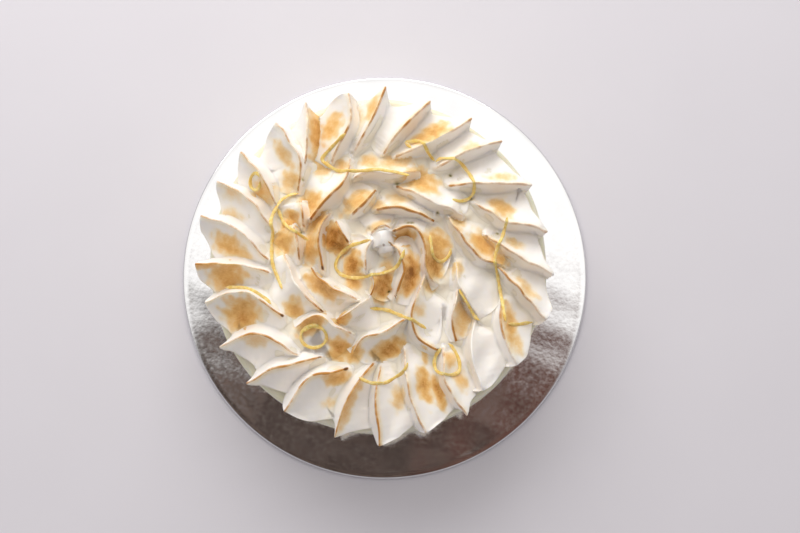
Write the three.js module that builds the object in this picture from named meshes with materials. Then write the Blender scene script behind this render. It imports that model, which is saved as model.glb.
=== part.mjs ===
// A lemon meringue pie on its round silver card: a smooth cream-coated body under three rings of
// piped, torched meringue petals. Millimetres, +Z up, with the origin under the middle of the card.
import * as THREE from 'three';

// Driving dimensions, in millimetres
const cardRadius = 127;
const cardThickness = 3;
const cardEdgeRound = 0.6;
const cardSegments = 96;
const bodyRadius = 101.5;
const bodyHeight = 50;
const bodyRimRound = 4;
const bodyFootRound = 1;
const bodySegments = 80;
const bodyOffset = [-3, 1.6];
const bodyTop = cardThickness + bodyHeight;
const bedRadius = 93;
const bedThickness = 2;
const bedSegments = 72;
const petalBase = bodyTop + bedThickness;
const crestThickness = 1;
const footHeight = 1.5;
const petalGap = 0.6;
const leastWidth = 0.9;
const stationsPerPetal = 7;

const foilMaterial = new THREE.MeshStandardMaterial({ color: 0xc9cacc, roughness: 0.3, metalness: 1 });
const creamMaterial = new THREE.MeshStandardMaterial({ color: 0xeae8cc, roughness: 0.55, metalness: 0 });
const meringueMaterial = new THREE.MeshStandardMaterial({ color: 0xf6f1e6, roughness: 0.6, metalness: 0 });
const toastedMaterial = new THREE.MeshStandardMaterial({ color: 0xe2b173, roughness: 0.6, metalness: 0 });

// Shares of a petal's full widths and height at each station from its inner beak to its outer tip.
// The lift raises the underside where an outer petal hangs over the rim of the body.
const outerShape = {
  broad: [0.3, 0.75, 1, 1, 0.9, 0.68, 0.16],
  steep: [0.4, 0.8, 1, 1, 0.9, 0.7, 0.3],
  height: [0.8, 0.96, 1, 1, 0.94, 0.82, 0.64],
  lift: [0, 0, 0, 0, 0, 0.08, 0.3],
};
const innerShape = {
  broad: [0.4, 0.9, 1, 1, 1, 0.9, 0.4],
  steep: [0.5, 0.9, 1, 1, 0.9, 0.7, 0.3],
  height: [0.84, 1, 1, 0.96, 0.88, 0.72, 0.45],
  lift: [0, 0, 0, 0, 0, 0, 0],
};

// Crest lines seen from above, from beak to tip, as [radius, degrees] about the body's axis
const outerRing = {
  label: 'outer', material: meringueMaterial,
  height: 18, broadWidth: 24, steepWidth: 5, shape: outerShape,
  crests: [
    [[69, 102], [85, 92], [106, 87]],
    [[66, 87], [85, 78], [102, 72]],
    [[65, 80], [83, 64], [104, 57]],
    [[67, 58], [87, 50], [104, 44]],
    [[62, 48], [80, 35], [103, 27]],
    [[67, 33], [81, 16], [103, 10]],
    [[66, 14], [84, 2], [104, -4]],
    [[71, -2], [86, -11], [106, -19]],
    [[75, -17], [84, -28], [103, -37]],
    [[67, -32], [79, -44], [99, -51]],
    [[66, -50], [81, -59], [105, -60]],
    [[63, -73], [80, -76], [105, -75]],
    [[62, -88], [84, -90], [108, -89]],
    [[62, -94], [82, -102], [106, -103]],
    [[66, -106], [82, -119], [104, -122]],
    [[66, -120], [86, -132], [106, -137]],
    [[71, -132], [84, -148], [106, -152]],
    [[65, -151], [82, -166], [104, -167]],
    [[65, -174], [88, -179], [108, -179]],
    [[66, 178], [86, 168], [109, 165]],
    [[66, 164], [85, 154], [107, 153]],
    [[70, 150], [87, 144], [105, 141]],
    [[68, 134], [85, 127], [104, 126]],
    [[74, 125], [92, 117], [106, 114]],
    [[69, 114], [86, 102], [103, 100]],
  ],
};
const middleRing = {
  label: 'middle', material: meringueMaterial,
  height: 20, broadWidth: 26, steepWidth: 5, shape: innerShape,
  crests: [
    [[48, 144], [48, 128], [55, 109], [64, 105]],
    [[52, 104], [53, 94], [53, 79], [60, 67]],
    [[47, 74], [48, 50], [58, 30]],
    [[48, 30], [52, 16], [60, 3], [70, 0]],
    [[46, -2], [50, -15], [66, -29]],
    [[52, -23], [58, -38], [64, -44]],
    [[30, -20], [32, -42], [40, -59], [50, -62], [60, -57]],
    [[40, -65], [44, -88], [48, -101], [57, -105]],
    [[45, -112], [46, -123], [48, -136], [61, -141]],
    [[44, -140], [48, -157], [54, -174]],
    [[46, 178], [51, 163], [55, 156]],
    [[49, 155], [52, 149], [59, 142]],
  ],
};
const heart = {
  label: 'inner', material: toastedMaterial,
  height: 23, broadWidth: 18, steepWidth: 4, shape: innerShape,
  crests: [
    [[30, 90], [33, 76], [36, 54], [42, 38]],
    [[32, 118], [35, 103], [42, 92]],
    [[20, 152], [28, 141], [36, 136]],
    [[33, 187], [36, 166], [41, 138]],
    [[26, 238], [29, 220], [35, 201], [40, 187]],
    [[24, 257], [33, 243], [41, 236]],
    [[18, 30], [16, -12], [19, -44], [25, -66]],
    [[27, 49], [29, 12], [29, -5], [38, -19]],
    [[17, 100], [21, 82], [20, 66]],
  ],
};
const peak = {
  label: 'centre', height: 23, broadWidth: 10, steepWidth: 7, shape: innerShape, material: meringueMaterial,
  crests: [[[9, 216], [8, 150], [10, 128], [12, 104]]],
};

function polar([radius, degrees]) {
  const angle = THREE.MathUtils.degToRad(degrees);
  return new THREE.Vector3(radius * Math.cos(angle), radius * Math.sin(angle), 0);
}

// How far a straight line in plan runs from a point before it meets any of the outlines
function clearWidth(start, direction, width, outlines) {
  let clear = width;
  outlines.forEach((outline) => outline.forEach((from, index) => {
    const to = outline[(index + 1) % outline.length];
    const edge = to.clone().sub(from);
    const gap = from.clone().sub(start);
    const spread = direction.x * edge.y - direction.y * edge.x;
    if (Math.abs(spread) < 1e-9) return;
    const distance = (gap.x * edge.y - gap.y * edge.x) / spread;
    const share = (gap.x * direction.y - gap.y * direction.x) / spread;
    if (distance > 0 && share >= 0 && share <= 1) clear = Math.min(clear, distance - petalGap);
  }));
  return Math.max(clear, leastWidth);
}

// The stations along a petal's crest, each with the way to its left and its full widths
function stationsOf(ring, crest) {
  const curve = new THREE.CatmullRomCurve3(crest.map(polar));
  const stations = [];
  for (let s = 0; s < stationsPerPetal; s += 1) {
    const fraction = s / (stationsPerPetal - 1);
    const along = curve.getTangent(fraction);
    stations.push({
      middle: curve.getPoint(fraction),
      left: new THREE.Vector3(-along.y, along.x, 0).normalize(),
      broad: ring.broadWidth * ring.shape.broad[s],
      steep: ring.steepWidth * ring.shape.steep[s],
      top: ring.height * ring.shape.height[s],
      bottom: ring.height * ring.shape.lift[s],
    });
  }
  return stations;
}

function besideCrest({ middle, left }, distance) {
  return middle.clone().addScaledVector(left, distance);
}

// The narrow outline of a petal's fin in plan, from its crest to its steep foot
function finOutline(stations) {
  const crestSide = stations.map((station) => besideCrest(station, crestThickness));
  const steepSide = stations.map((station) => besideCrest(station, -station.steep));
  return [...crestSide, ...steepSide.reverse()];
}

function footOutline(stations) {
  const broadSide = stations.map((station) => besideCrest(station, station.broad));
  const steepSide = stations.map((station) => besideCrest(station, -station.steep));
  return [...broadSide, ...steepSide.reverse()];
}

// Draws each foot in until it is clear of the neighbours, looking along lines between stations too
function fitBetween(stations, outlines) {
  return stations.map((station, index) => {
    let { broad, steep } = station;
    [-1, 1].forEach((way) => {
      const next = stations[index + way] ?? station;
      [0, 0.25, 0.5, 0.75].forEach((share) => {
        const from = station.middle.clone().lerp(next.middle, share);
        const left = station.left.clone().lerp(next.left, share).normalize();
        broad = Math.min(broad, clearWidth(from, left, broad, outlines));
        steep = Math.min(steep, clearWidth(from, left.clone().negate(), steep, outlines));
      });
      if (next !== station) {
        const ownLine = [[next.middle, besideCrest(next, 2 * broad)]];
        broad = Math.min(broad, clearWidth(station.middle, station.left, broad, ownLine));
      }
    });
    return { ...station, broad, steep };
  });
}

// A petal's cross-section, upright and square to its crest: a long hollow face on the left of the
// crest's way outwards, a fin at the crest and a short steep face on the right.
function petalSection(station) {
  const { broad, steep, top, bottom } = station;
  const half = crestThickness / 2;
  const outline = [
    [broad, bottom],
    [broad, bottom + footHeight],
    [0.45 * broad + 0.55 * half, bottom + 0.36 * (top - bottom)],
    [half, top],
    [-half, top],
    [-steep, bottom + 0.3 * (top - bottom)],
    [-steep, bottom],
  ];
  return outline.map(([side, up]) => besideCrest(station, side).setZ(petalBase + up));
}

// A closed skin over a row of sections with a flat cap at each end
function loft(sections) {
  const count = sections[0].length;
  const faces = [];
  for (let s = 0; s < sections.length - 1; s += 1) {
    for (let p = 0; p < count; p += 1) {
      const a = s * count + p;
      const b = s * count + ((p + 1) % count);
      faces.push(a, b, a + count);
      faces.push(b, b + count, a + count);
    }
  }
  const last = (sections.length - 1) * count;
  for (let p = 1; p < count - 1; p += 1) {
    faces.push(0, p + 1, p);
    faces.push(last, last + p, last + p + 1);
  }
  const geometry = new THREE.BufferGeometry().setFromPoints(sections.flat());
  geometry.setIndex(faces);
  geometry.computeVertexNormals();
  return geometry;
}

function lathe(profile, segments) {
  const points = profile.map(([radius, height]) => new THREE.Vector2(radius, height));
  return new THREE.LatheGeometry(points, segments).rotateX(Math.PI / 2);
}

// A quarter round from one direction to the next, for the edges of the card and the body
function round(centreRadius, centreHeight, size, fromDegrees, steps) {
  const arc = [];
  for (let s = 0; s <= steps; s += 1) {
    const angle = THREE.MathUtils.degToRad(fromDegrees + (90 * s) / steps);
    arc.push([centreRadius + size * Math.cos(angle), centreHeight + size * Math.sin(angle)]);
  }
  return arc;
}

function addMesh(parent, name, geometry, material) {
  const mesh = new THREE.Mesh(geometry, material);
  mesh.name = name;
  parent.add(mesh);
  return mesh;
}

const pie = new THREE.Group();

const cardEdge = cardRadius - cardEdgeRound;
const cardProfile = [
  [0, 0],
  ...round(cardEdge, cardEdgeRound, cardEdgeRound, -90, 2),
  ...round(cardEdge, cardThickness - cardEdgeRound, cardEdgeRound, 0, 2),
  [0, cardThickness],
];
addMesh(pie, 'cake_card', lathe(cardProfile, cardSegments), foilMaterial);

const cake = new THREE.Group();
cake.position.set(bodyOffset[0], bodyOffset[1], 0);
pie.add(cake);

const bodyProfile = [
  [0, cardThickness],
  ...round(bodyRadius - bodyFootRound, cardThickness + bodyFootRound, bodyFootRound, -90, 1),
  ...round(bodyRadius - bodyRimRound, bodyTop - bodyRimRound, bodyRimRound, 0, 3),
  [0, bodyTop],
];
addMesh(cake, 'cake_body', lathe(bodyProfile, bodySegments), creamMaterial);

const bedProfile = [
  [0, bodyTop],
  [bedRadius, bodyTop],
  ...round(bedRadius - bedThickness, bodyTop, bedThickness, 0, 2).slice(1),
  [0, petalBase],
];
addMesh(cake, 'meringue_bed', lathe(bedProfile, bedSegments), meringueMaterial);

// Each petal's hollow face runs out to the steep backs round it and to the petals laid before it
function addRings(rings) {
  const petals = rings.flatMap((ring) => ring.crests.map((crest, index) => ({
    name: `${ring.label}_petal_${String(index + 1).padStart(2, '0')}`,
    material: ring.material,
    stations: stationsOf(ring, crest),
  })));
  const outlines = petals.map(({ stations }) => finOutline(stations));
  petals.forEach(({ name, material, stations }, index) => {
    const others = outlines.filter((_, other) => other !== index);
    const fitted = fitBetween(stations, others);
    outlines[index] = footOutline(fitted);
    addMesh(cake, name, loft(fitted.map(petalSection)), material);
  });
}

addRings([outerRing, middleRing, heart, peak]);

export default pie;
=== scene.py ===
# A lemon meringue pie on its silver card: cream-coated body, three rings of torched
# meringue petals and strips of lemon zest. Sizes are in millimetres about the pie's axis.
import math

import bpy
import numpy as np
from mathutils import Matrix, Vector
from mathutils.bvhtree import BVHTree


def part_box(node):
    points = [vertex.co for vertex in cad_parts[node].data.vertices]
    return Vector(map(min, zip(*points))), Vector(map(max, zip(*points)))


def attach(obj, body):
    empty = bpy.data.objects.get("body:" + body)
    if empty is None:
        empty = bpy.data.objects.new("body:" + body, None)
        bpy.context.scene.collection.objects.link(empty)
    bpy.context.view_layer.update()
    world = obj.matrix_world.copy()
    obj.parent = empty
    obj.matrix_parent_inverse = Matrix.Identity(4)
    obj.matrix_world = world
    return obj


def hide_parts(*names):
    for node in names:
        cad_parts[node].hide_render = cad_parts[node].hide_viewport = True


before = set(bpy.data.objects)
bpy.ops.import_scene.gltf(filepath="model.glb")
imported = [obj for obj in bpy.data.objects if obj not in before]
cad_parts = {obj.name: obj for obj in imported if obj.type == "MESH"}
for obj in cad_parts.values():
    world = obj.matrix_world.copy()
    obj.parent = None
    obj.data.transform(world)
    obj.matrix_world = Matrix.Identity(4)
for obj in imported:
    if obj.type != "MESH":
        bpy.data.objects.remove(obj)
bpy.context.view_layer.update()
print("frame loaded,", len(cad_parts), "parts")

mm = 0.001
scene = bpy.context.scene
seeded = np.random.default_rng(41)   # one seed, so every run gives the same pie


def middleOf(low, high):
    # a box's middle in plan
    return np.array([(low.x + high.x) / 2, (low.y + high.y) / 2]) / mm


cardLow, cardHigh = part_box("cake_card")
bodyLow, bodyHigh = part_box("cake_body")
axis = middleOf(bodyLow, bodyHigh)
bodyRadius = (bodyHigh.x - bodyLow.x) / 2 / mm
bodyBase, bodyTop = bodyLow.z / mm, bodyHigh.z / mm
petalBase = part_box("meringue_bed")[1].z / mm


def smoothStep(low, high, value):
    t = np.clip((value - low) / (high - low), 0, 1)
    return t * t * (3 - 2 * t)


def onPlan(radius, degrees):
    return np.array([radius * math.cos(math.radians(degrees)), radius * math.sin(math.radians(degrees))])


def unit(rows):
    return rows / np.linalg.norm(rows, axis=1)[:, None]


def leftOf(ways):
    return np.stack([-ways[:, 1], ways[:, 0]], axis=1)


def softNoise(wavelength, waves=9):
    # a smooth random field: waves of about one wavelength in random directions
    directions = unit(seeded.normal(size=(waves, 3)))
    turns = directions * (2 * math.pi / wavelength) * seeded.uniform(0.6, 1.5, (waves, 1))
    phase = seeded.uniform(0, 2 * math.pi, waves)
    return lambda points: np.sin(points @ turns.T + phase).sum(axis=-1) / math.sqrt(waves / 2)


def between(a, b, start, end, t):
    return (end - t) / (end - start) * a + (t - start) / (end - start) * b


def curveThrough(points, perSpan=24):
    # centripetal Catmull-Rom curve through the points
    points = [np.asarray(p, float) for p in points]
    points = [2 * points[0] - points[1]] + points + [2 * points[-1] - points[-2]]
    line = []
    for span in zip(points, points[1:], points[2:], points[3:]):
        knots = [0.0]
        for a, b in zip(span, span[1:]):
            knots.append(knots[-1] + max(np.linalg.norm(b - a), 1e-6) ** 0.5)
        t = np.linspace(knots[1], knots[2], perSpan, endpoint=False)[:, None]
        a1, a2, a3 = [between(span[i], span[i + 1], knots[i], knots[i + 1], t) for i in range(3)]
        b1 = between(a1, a2, knots[0], knots[2], t)
        b2 = between(a2, a3, knots[1], knots[3], t)
        line.append(between(b1, b2, knots[1], knots[2], t))
    line.append(points[-2][None])
    return np.concatenate(line)


def alongLine(line, distances):
    # points at the given distances along a polyline
    steps = np.concatenate([[0], np.cumsum(np.linalg.norm(np.diff(line, axis=0), axis=1))])
    return np.stack([np.interp(distances, steps, line[:, i]) for i in range(line.shape[1])], axis=1)


def lineLength(line):
    return float(np.linalg.norm(np.diff(line, axis=0), axis=1).sum())


def blurred(values, width):
    reach = int(3 * width) + 1
    kernel = np.exp(-0.5 * (np.arange(-reach, reach + 1) / width) ** 2)
    padded = np.concatenate([np.full(reach, values[0]), values, np.full(reach, values[-1])])
    return np.convolve(padded, kernel / kernel.sum(), mode="valid")


def turned(profile, segments):
    # rings of points about the pie's axis from an outline of (radius, height)
    turns = np.linspace(0, 2 * math.pi, segments, endpoint=False)
    radius, height = np.asarray(profile, float).T[..., None]
    return np.stack([radius * np.cos(turns), radius * np.sin(turns), height + 0 * turns], axis=-1)


def closedTube(rings, firstVertex=0):
    # points and faces of a closed body from rings of points, with a cap over each end
    count, columns = rings.shape[:2]
    r, c = np.meshgrid(np.arange(count - 1), np.arange(columns), indexing="ij")
    n = (c + 1) % columns
    here, there = r * columns, (r + 1) * columns
    quads = np.stack([here + c, here + n, there + n, there + c], axis=-1)
    ends = [np.arange(columns)[::-1], np.arange(columns) + (count - 1) * columns]
    faces = (quads.reshape(-1, 4) + firstVertex).tolist() + [(end + firstVertex).tolist() for end in ends]
    return rings.reshape(-1, 3), faces


def addPiece(name, points, faces, material, cadNode=None, torch=None):
    # one finished piece from points in millimetres
    mesh = bpy.data.meshes.new(name)
    mesh.from_pydata((np.asarray(points) * mm).tolist(), [], faces)
    mesh.validate()
    mesh.shade_smooth()
    if torch is not None:
        colours = mesh.attributes.new("torch", "FLOAT_COLOR", "POINT")
        colours.data.foreach_set("color", np.asarray(torch, np.float32).ravel())
    mesh.materials.append(material)
    piece = bpy.data.objects.new(name, mesh)
    scene.collection.objects.link(piece)
    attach(piece, "root")
    if cadNode:
        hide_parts(cadNode)
    return piece


def fromHex(text, alpha=1.0):
    # sRGB hex to linear colour
    channels = [int(text[i:i + 2], 16) / 255 for i in (1, 3, 5)]
    linear = [c / 12.92 if c <= 0.04045 else ((c + 0.055) / 1.055) ** 2.4 for c in channels]
    return (*linear, alpha)


def addNode(tree, kind, settings):
    # a node with its settings: a socket is linked to its input, and hex text becomes a colour
    node = tree.nodes.new(kind)
    for key, value in settings.items():
        if isinstance(key, str) and hasattr(node, key):
            setattr(node, key, value)
        elif isinstance(value, bpy.types.NodeSocket):
            tree.links.new(value, node.inputs[key])
        else:
            node.inputs[key].default_value = fromHex(value) if isinstance(value, str) else value
    return node


def newMaterial(name):
    # an empty material, and the place on the object that its patterns follow
    material = bpy.data.materials.new(name)
    material.use_nodes = True
    tree = material.node_tree
    tree.nodes.clear()
    return material, tree, addNode(tree, "ShaderNodeTexCoord", {}).outputs["Object"]


def cellsOf(size):
    # a noise texture's scale from the size of its cells in millimetres
    return 1 / (size * mm)


meringueLook = dict(
    grain=1.3333, mottle=5.0, foam=0.7143,   # sugar specks, flame mottling, foam pores
    uneven=(0.78, 1.22), base="#FDF7F1",
    tints=[   # what drives each colour, where it starts and where it is full
        # both dip tints are painted shade: pale cream-yellow low in the creases, dark olive in the pits
        ("dip", 0.0, 0.6, "#E2DAB6"), ("patch", 0.0, 0.35, "#F7DFB3"), ("patch", 0.12, 0.65, "#EBBF79"),
        ("patch", 0.5, 1.05, "#D0974F"), ("patch", 0.85, 1.45, "#9D6423"), ("crest", 0.1, 0.85, "#BC8540"),
        ("char", 0.25, 0.9, "#6E451C"), ("dip", 0.6, 1.0, "#77742F"),
    ],
    surface={
        "Roughness": 0.48, "IOR": 1.42, "Specular IOR Level": 0.35,
        "Subsurface Weight": 0.5, "Subsurface Radius": (1.0, 0.92, 0.78), "Subsurface Scale": 2.6 * mm,
    },
)


def torchedMeringue():
    # Italian meringue, piped and run over with a blowtorch: satin white foam that light sinks into,
    # with tan to dark brown sugar where the flame caught a crest or a broad face, and painted shade,
    # pale cream-yellow to dark olive, deep in the creases and pits
    look = meringueLook
    material, tree, place = newMaterial("torchedMeringue")
    torch = addNode(tree, "ShaderNodeAttribute", {"attribute_name": "torch"})
    parts = addNode(tree, "ShaderNodeSeparateColor", {"Color": torch.outputs["Color"]}).outputs
    grain = addNode(tree, "ShaderNodeTexNoise", {
        "Vector": place, "Scale": cellsOf(look["grain"]), "Detail": 3.0, "Roughness": 0.65})
    mottle = addNode(tree, "ShaderNodeTexNoise", {
        "Vector": place, "Scale": cellsOf(look["mottle"]), "Detail": 2.0, "Roughness": 0.5})
    both = addNode(tree, "ShaderNodeMath", {
        "operation": "ADD", 0: grain.outputs["Fac"], 1: mottle.outputs["Fac"]})
    spread = addNode(tree, "ShaderNodeMapRange", {
        "Value": both.outputs[0], "From Min": 0.75, "From Max": 1.25,
        "To Min": look["uneven"][0], "To Max": look["uneven"][1]})
    # dip is the attribute's alpha: painted shade, by how deep a point lies in a crease or pit
    drives = {"dip": torch.outputs["Alpha"], "char": parts[2]}
    for name, source in (("patch", parts[0]), ("crest", parts[1])):
        drives[name] = addNode(tree, "ShaderNodeMath", {
            "operation": "MULTIPLY", 0: source, 1: spread.outputs[0]}).outputs[0]
    colour = look["base"]
    for drive, start, full, tint in look["tints"]:
        share = addNode(tree, "ShaderNodeMapRange", {
            "interpolation_type": "SMOOTHSTEP", "Value": drives[drive], "From Min": start, "From Max": full})
        colour = addNode(tree, "ShaderNodeMix", {
            "data_type": "RGBA", 0: share.outputs[0], 6: colour, 7: tint}).outputs[2]
    foam = addNode(tree, "ShaderNodeTexNoise", {
        "Vector": place, "Scale": cellsOf(look["foam"]), "Detail": 4.0, "Roughness": 0.65})
    bump = addNode(tree, "ShaderNodeBump", {
        "Strength": 0.22, "Distance": 0.12 * mm, "Height": foam.outputs["Fac"]})
    surface = addNode(tree, "ShaderNodeBsdfPrincipled", {
        **look["surface"], "Base Color": colour, "Normal": bump.outputs[0]})
    addNode(tree, "ShaderNodeOutputMaterial", {"Surface": surface.outputs[0]})
    return material


creamLook = dict(
    drags=22.222, flattened=9, pores=1.1111,   # knife marks 22 mm long and 2.5 mm high, fine pores
    colours=("#F2EFDC", "#E9E5CB"), poreShare=0.15,
    surface={
        "Roughness": 0.42, "IOR": 1.45, "Specular IOR Level": 0.4,
        "Subsurface Weight": 0.4, "Subsurface Radius": (1.0, 0.85, 0.4), "Subsurface Scale": 3 * mm,
    },
)


def lemonCream():
    # lemon cream spread smooth with a palette knife: pale yellow-green satin, faint lengthwise drags
    look = creamLook
    material, tree, place = newMaterial("lemonCream")
    squashed = addNode(tree, "ShaderNodeMapping", {"Vector": place, "Scale": (1, 1, look["flattened"])})
    drags = addNode(tree, "ShaderNodeTexNoise", {
        "Vector": squashed.outputs[0], "Scale": cellsOf(look["drags"]), "Detail": 5.0, "Roughness": 0.6})
    pores = addNode(tree, "ShaderNodeTexNoise", {
        "Vector": place, "Scale": cellsOf(look["pores"]), "Detail": 2.0})
    tone = addNode(tree, "ShaderNodeMapRange", {
        "Value": drags.outputs["Fac"], "From Min": 0.35, "From Max": 0.68})
    colour = addNode(tree, "ShaderNodeMix", {
        "data_type": "RGBA", 0: tone.outputs[0], 6: look["colours"][0], 7: look["colours"][1]})
    height = addNode(tree, "ShaderNodeMath", {
        "operation": "MULTIPLY_ADD", 0: pores.outputs["Fac"], 1: look["poreShare"], 2: drags.outputs["Fac"]})
    bump = addNode(tree, "ShaderNodeBump", {
        "Strength": 0.4, "Distance": 0.5 * mm, "Height": height.outputs[0]})
    surface = addNode(tree, "ShaderNodeBsdfPrincipled", {
        **look["surface"], "Base Color": colour.outputs[2], "Normal": bump.outputs[0]})
    addNode(tree, "ShaderNodeOutputMaterial", {"Surface": surface.outputs[0]})
    return material


foilLook = dict(
    crinkle=2.6316, wave=26.316,   # the emboss, and the foil's slackness
    colours=("#F5F5F6", "#EDEDEF"), roughness=(0.06, 0.11), waveShare=2.5,
)


def foilLaminatedCard():
    # card laminated with embossed aluminium foil: near-mirror silver broken by a fine crinkle
    look = foilLook
    material, tree, place = newMaterial("foilLaminatedCard")
    crinkle = addNode(tree, "ShaderNodeTexNoise", {
        "Vector": place, "Scale": cellsOf(look["crinkle"]), "Detail": 1.0, "Roughness": 0.5})
    wave = addNode(tree, "ShaderNodeTexNoise", {
        "Vector": place, "Scale": cellsOf(look["wave"]), "Detail": 2.0})
    height = addNode(tree, "ShaderNodeMath", {
        "operation": "MULTIPLY_ADD", 0: wave.outputs["Fac"], 1: look["waveShare"], 2: crinkle.outputs["Fac"]})
    bump = addNode(tree, "ShaderNodeBump", {
        "Strength": 0.035, "Distance": 0.4 * mm, "Height": height.outputs[0]})
    cloud = addNode(tree, "ShaderNodeMapRange", {
        "Value": wave.outputs["Fac"], "From Min": 0.35, "From Max": 0.65})
    colour = addNode(tree, "ShaderNodeMix", {
        "data_type": "RGBA", 0: cloud.outputs[0], 6: look["colours"][0], 7: look["colours"][1]})
    rough = addNode(tree, "ShaderNodeMapRange", {
        "Value": crinkle.outputs["Fac"], "From Min": 0.3, "From Max": 0.7,
        "To Min": look["roughness"][0], "To Max": look["roughness"][1]})
    surface = addNode(tree, "ShaderNodeBsdfPrincipled", {
        "Metallic": 1.0, "Base Color": colour.outputs[2], "Roughness": rough.outputs[0],
        "Normal": bump.outputs[0]})
    addNode(tree, "ShaderNodeOutputMaterial", {"Surface": surface.outputs[0]})
    return material


def mottledMaterial(look):
    # two tones mixed by one noise, which also lifts the surface by a height in millimetres
    material, tree, place = newMaterial(look["name"])
    noise = addNode(tree, "ShaderNodeTexNoise", {
        "Vector": place, "Scale": cellsOf(look["cells"]), "Detail": look["detail"],
        "Roughness": look["ragged"]})
    tone = addNode(tree, "ShaderNodeMapRange", {
        "Value": noise.outputs["Fac"], "From Min": look["tone"][0], "From Max": look["tone"][1]})
    colour = addNode(tree, "ShaderNodeMix", {
        "data_type": "RGBA", 0: tone.outputs[0], 6: look["colours"][0], 7: look["colours"][1]})
    bump = addNode(tree, "ShaderNodeBump", {
        "Strength": look["bump"], "Distance": look["lift"] * mm, "Height": noise.outputs["Fac"]})
    surface = addNode(tree, "ShaderNodeBsdfPrincipled", {
        **look["surface"], "Base Color": colour.outputs[2], "Normal": bump.outputs[0]})
    addNode(tree, "ShaderNodeOutputMaterial", {"Surface": surface.outputs[0]})
    return material


# the card's bare underside, pressed from waste paper: matt grey with clumps of short fibres
boardLook = dict(
    name="greyboard", cells=2.381, detail=5.0, ragged=0.7, tone=(0.0, 1.0), colours=("#B3ADA3", "#CFCAC0"),
    bump=0.3, lift=0.1, surface={"Roughness": 0.85},
)
# fine strips of pared lemon peel: deep yellow with oil glands, a little see-through at the edges
zestLook = dict(
    name="lemonZest", cells=2.0, detail=2.0, ragged=0.5, tone=(0.3, 0.7), colours=("#F4E09E", "#E8C462"),
    bump=0.4, lift=0.2,
    surface={
        "Roughness": 0.35, "IOR": 1.45,
        "Subsurface Weight": 0.5, "Subsurface Radius": (1.0, 0.7, 0.15), "Subsurface Scale": 1.2 * mm,
    },
)
# rolled paint on a smooth board: plain, matt and pale, hardly uneven
tabletopLook = dict(
    name="mattTabletopPaint", cells=71.43, detail=3.0, ragged=0.5, tone=(0.0, 1.0),
    colours=("#DAD7DD", "#DEDBE1"), bump=0.0, lift=0.1, surface={"Roughness": 0.7},
)

meringue = torchedMeringue()
cream = lemonCream()
foil = foilLaminatedCard()
board = mottledMaterial(boardLook)
zest = mottledMaterial(zestLook)
print("materials made")

# camera and light, placed in metres
view = dict(place=(0.018, -0.111, 1.06), target=(0.0098, 0.0057, 0.003), lens=76.0, sensor=36.0)
camera = bpy.data.objects.new("camera", bpy.data.cameras.new("camera"))
camera.data.lens = view["lens"]
camera.data.sensor_width = view["sensor"]
back = (Vector(view["place"]) - Vector(view["target"])).normalized()
side = Vector((0, 1, 0)).cross(back).normalized()
turnedTo = Matrix((side, back.cross(side), back)).transposed().to_4x4()
camera.matrix_world = Matrix.Translation(view["place"]) @ turnedTo
scene.collection.objects.link(camera)
scene.camera = camera
scene.view_settings.view_transform = "Standard"

windowLight = dict(place=(-0.2, 0.95, 0.74), target=(0, 0, 0.05), size=(1.3, 0.8), watts=12.0, tint="#FFFDFA")
lamp = bpy.data.lights.new("windowLight", "AREA")
lamp.shape = "RECTANGLE"
lamp.size, lamp.size_y = windowLight["size"]
lamp.energy = windowLight["watts"]
lamp.color = fromHex(windowLight["tint"])[:3]
light = bpy.data.objects.new("windowLight", lamp)
light.location = windowLight["place"]
aim = Vector(windowLight["target"]) - Vector(windowLight["place"])
light.rotation_euler = aim.to_track_quat("-Z", "Y").to_euler()
scene.collection.objects.link(light)

# a pale room with a dim brown patch of ceiling overhead, which the foil mirrors; places and
# reaches are parts of a direction whose length is 1
ceiling = dict(
    centre=(-0.03, -0.15), reach=(0.32, 0.268), walls="#A7A4A6", bright="#FFFDFA",
    shade="#352E2A", warm="#5A372E", haze="#7C685F", beams=48.0, strength=1.0, overhead=1.2,
)
room = bpy.data.worlds.new("paleStudio")
scene.world = room
room.use_nodes = True
sky = room.node_tree
sky.nodes.clear()
heading = addNode(sky, "ShaderNodeTexCoord", {}).outputs["Generated"]
east, north, up = addNode(sky, "ShaderNodeSeparateXYZ", {"Vector": heading}).outputs
beams = addNode(sky, "ShaderNodeTexNoise", {
    "Vector": heading, "Scale": ceiling["beams"], "Detail": 2.0, "Roughness": 0.5})
outside = addNode(sky, "ShaderNodeMath", {"operation": "LESS_THAN", 0: up, 1: 0.0}).outputs[0]
for way, centre, reach in zip((east, north), ceiling["centre"], ceiling["reach"]):
    away = addNode(sky, "ShaderNodeMath", {"operation": "SUBTRACT", 0: way, 1: centre}).outputs[0]
    share = addNode(sky, "ShaderNodeMath", {"operation": "DIVIDE", 0: away, 1: reach}).outputs[0]
    outside = addNode(sky, "ShaderNodeMath", {
        "operation": "MULTIPLY_ADD", 0: share, 1: share, 2: outside}).outputs[0]
fades = {}
for name, source, start, full, kind in (
        ("edge", outside, 0.66, 1.04, "SMOOTHSTEP"), ("warmth", east, 0.0, 0.07, "LINEAR"),
        ("northward", north, -0.12, 0.1, "SMOOTHSTEP"), ("upward", up, 0.35, 0.8, "SMOOTHSTEP"),
        ("mottle", beams.outputs["Fac"], 0.46, 0.66, "LINEAR"),
        ("zenith", up, 0.93, 0.98, "SMOOTHSTEP"), ("behind", north, 0.0, 0.11, "SMOOTHSTEP")):
    fades[name] = addNode(sky, "ShaderNodeMapRange", {
        "interpolation_type": kind, "Value": source, "From Min": start, "From Max": full}).outputs[0]
for name, first, second in (("skylight", "northward", "upward"), ("overhead", "zenith", "behind")):
    fades[name] = addNode(sky, "ShaderNodeMath", {
        "operation": "MULTIPLY", 0: fades[first], 1: fades[second]}).outputs[0]
tones = {}
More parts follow.
